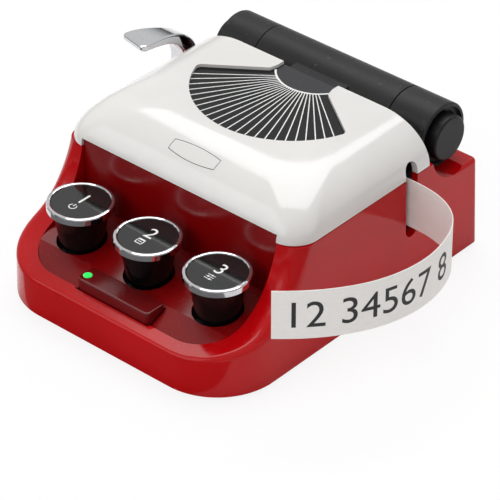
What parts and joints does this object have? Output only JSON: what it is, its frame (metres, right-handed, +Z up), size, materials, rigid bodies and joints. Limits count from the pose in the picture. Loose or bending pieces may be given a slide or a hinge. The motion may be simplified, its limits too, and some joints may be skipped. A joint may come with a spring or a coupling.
{
  "type": "label maker",
  "caption": "Small desk label printer styled as a retro typewriter, with round keys, a space bar, a roller hinge, a lid, a cutter lever and a curl of printed tape.",
  "frame": {"origin": "middle of the rubber mat's underside, on the resting plane", "axes": "+Z up; -Y towards the keys and the user; +X to the user's right, where the tape comes out"},
  "size_m": [0.1297, 0.1134, 0.0513],
  "materials": {
    "red_shell": "gloss",
    "dark_red": "gloss",
    "ivory": "gloss",
    "black_satin": "satin",
    "black_gloss": "gloss",
    "charcoal": "satin",
    "chrome": "polished",
    "steel": "brushed",
    "spring_steel": "drawn wire",
    "aluminium": "brushed",
    "grey_plastic": "matte",
    "gear_white": "matte",
    "mat_rubber": "matte",
    "platen_rubber": "matte",
    "circuit_board": "solder mask",
    "battery_wrap": "foil",
    "tape_label": "paper",
    "ceramic": "glazed",
    "green_light": "lit lens",
    "motor_case": "brushed"
  },
  "bodies": {
    "body": {"base_shell": "red_shell", "grip_mat": "mat_rubber", "bottom_plate": "grey_plastic", "bottom_screws": "steel", "key_deck": "dark_red", "key_guide": "grey_plastic", "key_board": "circuit_board", "key_switches": "grey_plastic", "status_led": "green_light", "chassis_plate": "grey_plastic", "main_board": "circuit_board", "battery_cell": "battery_wrap", "usb_socket": "steel", "drive_motor": "motor_case", "print_head": "ceramic", "head_bracket": "aluminium", "cassette_case": "grey_plastic", "cassette_lid": "charcoal", "label_tape": "tape_label", "cutter_anvil": "steel", "cutter_guide": "grey_plastic", "left_hinge_barrel": "black_satin", "right_hinge_barrel": "black_satin", "lever_spring": "spring_steel", "bar_spring": "spring_steel", "left_key_spring": "spring_steel", "middle_key_spring": "spring_steel", "right_key_spring": "spring_steel"},
    "left_key": {"left_key_stem": "black_gloss", "left_key_ring": "chrome", "left_key_face": "charcoal"},
    "middle_key": {"middle_key_stem": "black_gloss", "middle_key_ring": "chrome", "middle_key_face": "charcoal"},
    "right_key": {"right_key_stem": "black_gloss", "right_key_ring": "chrome", "right_key_face": "charcoal"},
    "bar": {"space_bar": "dark_red", "led_lens": "green_light"},
    "cover": {"cover_shell": "ivory", "fan_panel": "black_satin", "hinge_barrel": "black_satin"},
    "roller": {"roller_axle": "steel", "left_knob": "black_satin", "right_knob": "black_satin"},
    "lever": {"cutter_lever": "chrome", "cutter_shaft": "steel", "cutter_crank": "steel"},
    "blade": {"cutter_carriage": "steel", "cutter_blade": "steel"},
    "spool": {"spool_core": "gear_white", "tape_roll": "tape_label"},
    "feed": {"drive_roller_shaft": "steel", "drive_roller_sleeve": "platen_rubber", "roller_gear": "gear_white"},
    "idler": {"idler_gear": "gear_white"},
    "pinion": {"motor_pinion": "steel"}
  },
  "joints": [
    {"name": "left_key_press", "type": "slide", "parent": "body", "child": "left_key", "axis": [0, 0, -1], "range_m": [0, 0.0018], "stiffness_N_per_m": 250, "springref_m": -0.002, "deforming": ["left_key_spring"]},
    {"name": "middle_key_press", "type": "slide", "parent": "body", "child": "middle_key", "axis": [0, 0, -1], "range_m": [0, 0.0018], "stiffness_N_per_m": 250, "springref_m": -0.002, "deforming": ["middle_key_spring"]},
    {"name": "right_key_press", "type": "slide", "parent": "body", "child": "right_key", "axis": [0, 0, -1], "range_m": [0, 0.0018], "stiffness_N_per_m": 250, "springref_m": -0.002, "deforming": ["right_key_spring"]},
    {"name": "bar_press", "type": "slide", "parent": "body", "child": "bar", "axis": [0, 0, -1], "range_m": [0, 0.001], "stiffness_N_per_m": 300, "springref_m": -0.001, "deforming": ["bar_spring"]},
    {"name": "cover_hinge", "type": "hinge", "parent": "body", "child": "cover", "pos_m": [0, 0.0456, 0.0408], "axis": [-1, 0, 0], "range_deg": [0, 75]},
    {"name": "roller_turn", "type": "hinge", "parent": "body", "child": "roller", "pos_m": [0, 0.0456, 0.0408], "axis": [1, 0, 0], "continuous": true},
    {"name": "lever_press", "type": "hinge", "parent": "body", "child": "lever", "pos_m": [-0.05, 0.03, 0.0225], "axis": [1, 0, 0], "range_deg": [0, 18], "stiffness_Nm_per_rad": 0.25, "springref_deg": -5.73},
    {"name": "blade_slide", "type": "slide", "parent": "body", "child": "blade", "axis": [0, -1, 0], "range_m": [0, 0.00346]},
    {"name": "spool_turn", "type": "hinge", "parent": "body", "child": "spool", "pos_m": [-0.004, 0.01068, 0.03], "axis": [0, 0, 1], "continuous": true},
    {"name": "feed_turn", "type": "hinge", "parent": "body", "child": "feed", "pos_m": [0.033, 0.01887, 0.03], "axis": [0, 0, 1], "continuous": true},
    {"name": "idler_turn", "type": "hinge", "parent": "body", "child": "idler", "pos_m": [0.03, 0.00623, 0.014], "axis": [0, 0, 1], "continuous": true},
    {"name": "pinion_turn", "type": "hinge", "parent": "body", "child": "pinion", "pos_m": [0.0285, -0.00467, 0.02], "axis": [0, 0, 1], "continuous": true}
  ],
  "couplings": [
    {"joint": "blade_slide", "follows": "lever_press", "m_per_rad": 0.011},
    {"joint": "feed_turn", "follows": "spool_turn", "ratio": 2.64},
    {"joint": "idler_turn", "follows": "spool_turn", "ratio": -1.65},
    {"joint": "pinion_turn", "follows": "spool_turn", "ratio": 4.4}
  ]
}
